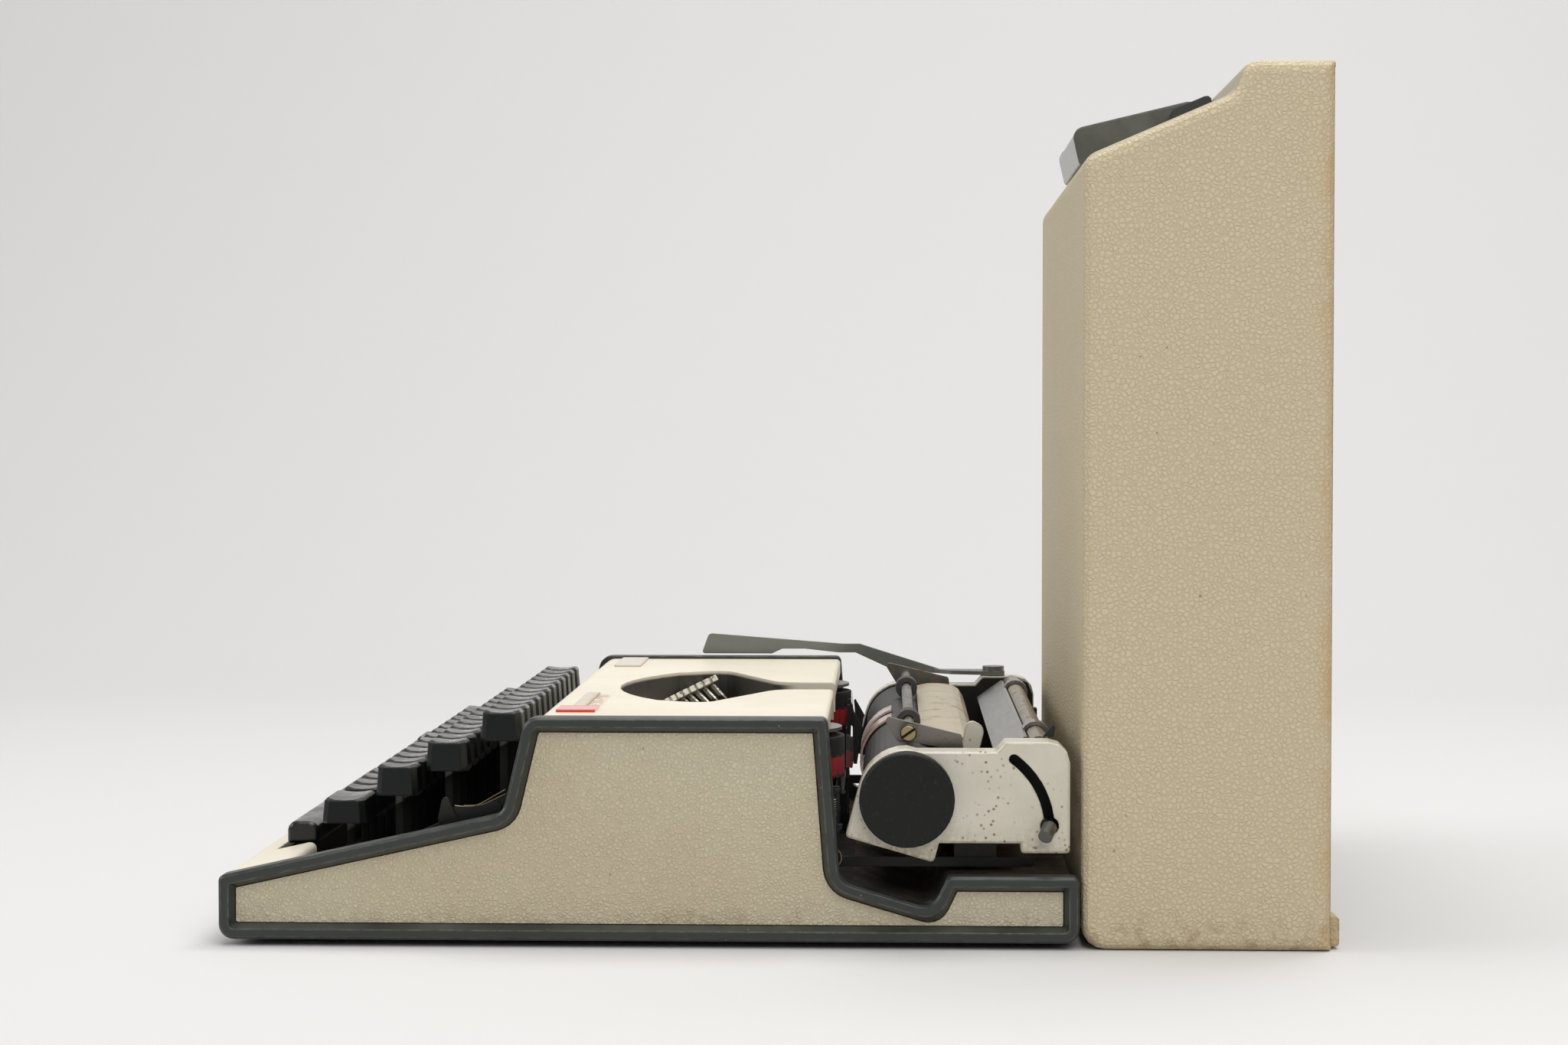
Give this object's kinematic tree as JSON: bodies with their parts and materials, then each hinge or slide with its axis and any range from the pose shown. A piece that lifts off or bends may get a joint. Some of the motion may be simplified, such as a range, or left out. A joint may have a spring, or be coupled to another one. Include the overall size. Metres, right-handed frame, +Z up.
{
  "type": "portable typewriter",
  "caption": "Portable typewriter in a two-tone casing with dark keys, a sliding platen carriage with return lever, and its deep grained case lid with a folding handle standing behind it.",
  "frame": {"origin": "on the floor under the middle of the footprint of machine and lid together", "axes": "+X to the typist's right, +Y from the space bar to the carriage and the lid, +Z up"},
  "size_m": [0.3248, 0.416, 0.3274],
  "materials": {
    "cream_paint": "satin stove enamel",
    "grained_skin": "leather grained vinyl, matte",
    "lid_skin": "coarse pebble grained vinyl, matte, stained",
    "trim_plastic": "moulded plastic, worn edges",
    "key_plastic": "polished moulded plastic",
    "knob_plastic": "moulded plastic",
    "black_steel": "black enamel",
    "bright_steel": "plated steel, dulled",
    "rubber": "hard black rubber",
    "enamel": "off-white enamel with rust specks",
    "clear_plastic": "pinkish clear plastic",
    "ribbon_cloth": "inked two-colour ribbon cloth",
    "deck_paint": "black enamel under dust",
    "red_plastic": "moulded plastic"
  },
  "bodies": {
    "machine": {"base_pan": "black_steel", "rear_deck": "deck_paint", "foot_front_right": "rubber", "foot_front_left": "rubber", "foot_rear_right": "rubber", "foot_rear_left": "rubber", "side_trim_right": "trim_plastic", "side_trim_left": "trim_plastic", "side_panel_right": "grained_skin", "side_panel_left": "grained_skin", "front_apron": "cream_paint", "frame_plate_right": "black_steel", "frame_plate_left": "black_steel", "lever_comb": "black_steel", "type_guide": "black_steel", "card_guide_right": "clear_plastic", "card_guide_left": "clear_plastic", "carriage_rail": "bright_steel", "ribbon": "ribbon_cloth"},
    "top_cover": {"top_cover": "cream_paint", "badge_plate": "enamel", "red_tab": "red_plastic"},
    "row_one": {"key_row_one": "key_plastic"},
    "row_two": {"key_row_two": "key_plastic"},
    "row_three": {"key_row_three": "key_plastic"},
    "row_four": {"key_row_four": "key_plastic"},
    "space_bar": {"space_bar": "key_plastic"},
    "shift_right": {"shift_key_right": "key_plastic"},
    "shift_left": {"shift_key_left": "key_plastic"},
    "shift_lock": {"shift_lock_key": "key_plastic"},
    "margin_release": {"margin_release_key": "key_plastic"},
    "backspace": {"backspace_key": "key_plastic"},
    "type_basket": {"type_segment": "bright_steel", "typebar_rest": "rubber"},
    "typebar": {"typebar_middle": "bright_steel"},
    "spool_right": {"ribbon_spool_right": "ribbon_cloth"},
    "spool_left": {"ribbon_spool_left": "ribbon_cloth"},
    "vibrator": {"ribbon_vibrator": "bright_steel"},
    "spring_drum": {"mainspring_drum": "bright_steel"},
    "carriage": {"carriage_frame": "black_steel", "end_cap_right": "enamel", "end_cap_left": "enamel", "paper_table": "cream_paint", "rear_tube": "bright_steel", "margin_rack": "bright_steel"},
    "platen": {"platen": "rubber", "platen_knob_right": "knob_plastic", "platen_knob_left": "knob_plastic"},
    "feed_roller": {"feed_roller": "rubber"},
    "paper_bail": {"paper_bail": "bright_steel"},
    "bail_roller_right": {"bail_roller_right": "rubber"},
    "bail_roller_left": {"bail_roller_left": "rubber"},
    "release_lever": {"paper_release_lever": "enamel"},
    "paper_support": {"paper_support": "bright_steel"},
    "support_stud": {"support_stud": "bright_steel"},
    "margin_stop_right": {"margin_stop_right": "black_steel"},
    "margin_stop_left": {"margin_stop_left": "black_steel"},
    "return_lever": {"return_lever": "bright_steel"},
    "case_lid": {"case_lid": "lid_skin"},
    "lid_handle": {"lid_handle": "key_plastic"}
  },
  "joints": [
    {"name": "row_one_press", "type": "hinge", "parent": "machine", "child": "row_one", "pos_m": [0, -0.08605, 0.017], "axis": [1, 0, 0], "range_deg": [0, 4.3], "stiffness_Nm_per_rad": 8},
    {"name": "row_two_press", "type": "hinge", "parent": "machine", "child": "row_two", "pos_m": [0, -0.07305, 0.023], "axis": [1, 0, 0], "range_deg": [0, 4.7], "stiffness_Nm_per_rad": 8},
    {"name": "row_three_press", "type": "hinge", "parent": "machine", "child": "row_three", "pos_m": [0, -0.06005, 0.0315], "axis": [1, 0, 0], "range_deg": [0, 5], "stiffness_Nm_per_rad": 8},
    {"name": "row_four_press", "type": "hinge", "parent": "machine", "child": "row_four", "pos_m": [0, -0.04705, 0.04], "axis": [1, 0, 0], "range_deg": [0, 5.7], "stiffness_Nm_per_rad": 8},
    {"name": "space_bar_press", "type": "hinge", "parent": "machine", "child": "space_bar", "pos_m": [0, -0.12005, 0.0092], "axis": [1, 0, 0], "range_deg": [0, 4.1], "stiffness_Nm_per_rad": 8},
    {"name": "shift_left_press", "type": "hinge", "parent": "machine", "child": "shift_left", "pos_m": [0, -0.09605, 0.0152], "axis": [1, 0, 0], "range_deg": [0, 4.9]},
    {"name": "shift_right_press", "type": "hinge", "parent": "machine", "child": "shift_right", "pos_m": [0, -0.09605, 0.0152], "axis": [1, 0, 0], "range_deg": [0, 4.9]},
    {"name": "shift_lock_press", "type": "hinge", "parent": "machine", "child": "shift_lock", "pos_m": [0, -0.08405, 0.03], "axis": [1, 0, 0], "range_deg": [0, 5.5], "stiffness_Nm_per_rad": 8},
    {"name": "margin_release_press", "type": "hinge", "parent": "machine", "child": "margin_release", "pos_m": [0, -0.07205, 0.0385], "axis": [1, 0, 0], "range_deg": [0, 6.2], "stiffness_Nm_per_rad": 8},
    {"name": "backspace_press", "type": "hinge", "parent": "machine", "child": "backspace", "pos_m": [0, -0.05805, 0.0465], "axis": [1, 0, 0], "range_deg": [0, 6.8], "stiffness_Nm_per_rad": 8},
    {"name": "basket_shift", "type": "slide", "parent": "machine", "child": "type_basket", "axis": [0, 0, -1], "range_m": [0, 0.005], "stiffness_N_per_m": 400, "springref_m": -0.006},
    {"name": "typebar_strike", "type": "hinge", "parent": "type_basket", "child": "typebar", "pos_m": [0, -0.02206, 0.03601], "axis": [1, 0, 0], "range_deg": [-108, 0]},
    {"name": "spool_right_turn", "type": "hinge", "parent": "machine", "child": "spool_right", "pos_m": [0.1, 0.00095, 0], "axis": [0, 0, 1], "continuous": true},
    {"name": "spool_left_turn", "type": "hinge", "parent": "machine", "child": "spool_left", "pos_m": [-0.1, 0.00095, 0], "axis": [0, 0, 1], "continuous": true},
    {"name": "vibrator_lift", "type": "slide", "parent": "machine", "child": "vibrator", "axis": [0, 0, 1], "range_m": [0, 0.008]},
    {"name": "carriage_travel", "type": "slide", "parent": "machine", "child": "carriage", "axis": [1, 0, 0], "range_m": [-0.1, 0.1]},
    {"name": "drum_turn", "type": "hinge", "parent": "machine", "child": "spring_drum", "pos_m": [-0.095, 0.04395, 0], "axis": [0, 0, 1], "continuous": true},
    {"name": "platen_turn", "type": "hinge", "parent": "carriage", "child": "platen", "pos_m": [0, 0.04815, 0.0562], "axis": [1, 0, 0], "continuous": true},
    {"name": "feed_roller_turn", "type": "hinge", "parent": "carriage", "child": "feed_roller", "pos_m": [0, 0.05015, 0.0355], "axis": [1, 0, 0], "continuous": true},
    {"name": "bail_lift", "type": "hinge", "parent": "carriage", "child": "paper_bail", "pos_m": [0, 0.06765, 0.0662], "axis": [1, 0, 0], "range_deg": [-60, 0]},
    {"name": "bail_roller_right_turn", "type": "hinge", "parent": "paper_bail", "child": "bail_roller_right", "pos_m": [0.085, 0.04905, 0.0784], "axis": [1, 0, 0], "continuous": true},
    {"name": "bail_roller_left_turn", "type": "hinge", "parent": "paper_bail", "child": "bail_roller_left", "pos_m": [-0.069, 0.04905, 0.0784], "axis": [1, 0, 0], "continuous": true},
    {"name": "release_pull", "type": "hinge", "parent": "carriage", "child": "release_lever", "pos_m": [0.125, 0.06965, 0.0582], "axis": [1, 0, 0], "range_deg": [0, 25]},
    {"name": "support_stud_lift", "type": "hinge", "parent": "carriage", "child": "support_stud", "pos_m": [0.144, 0.06855, 0.0446], "axis": [1, 0, 0], "range_deg": [0, 48]},
    {"name": "paper_support_fold", "type": "hinge", "parent": "carriage", "child": "paper_support", "pos_m": [0, 0.09795, 0.074], "axis": [1, 0, 0], "range_deg": [-100, 0]},
    {"name": "margin_stop_right_slide", "type": "slide", "parent": "carriage", "child": "margin_stop_right", "axis": [1, 0, 0], "range_m": [-0.08, 0.038]},
    {"name": "margin_stop_left_slide", "type": "slide", "parent": "carriage", "child": "margin_stop_left", "axis": [1, 0, 0], "range_m": [-0.038, 0.08]},
    {"name": "return_lever_swing", "type": "hinge", "parent": "carriage", "child": "return_lever", "pos_m": [-0.148, 0.08995, 0.078], "axis": [0, 0, 1], "range_deg": [-55, 0]},
    {"name": "cover_lift", "type": "slide", "parent": "machine", "child": "top_cover", "axis": [0, 0, 1], "range_m": [0, 0.06]},
    {"name": "lid_lift", "type": "slide", "parent": "machine", "child": "case_lid", "axis": [0, 0, 1], "range_m": [0, 0.12]},
    {"name": "handle_swing", "type": "hinge", "parent": "case_lid", "child": "lid_handle", "pos_m": [0, 0.15925, 0.31964], "axis": [1, 0, 0], "range_deg": [-95, 0]}
  ],
  "couplings": [
    {"joint": "shift_right_press", "follows": "basket_shift", "rad_per_m": 17.087},
    {"joint": "shift_left_press", "follows": "basket_shift", "rad_per_m": 17.087},
    {"joint": "typebar_strike", "follows": "row_two_press", "ratio": -22.9},
    {"joint": "vibrator_lift", "follows": "row_two_press", "m_per_rad": 0.09743},
    {"joint": "drum_turn", "follows": "carriage_travel", "rad_per_m": 76.923},
    {"joint": "feed_roller_turn", "follows": "platen_turn", "ratio": -5},
    {"joint": "paper_support_fold", "follows": "support_stud_lift", "ratio": -2.08},
    {"joint": "spool_left_turn", "follows": "spool_right_turn", "ratio": 1}
  ]
}
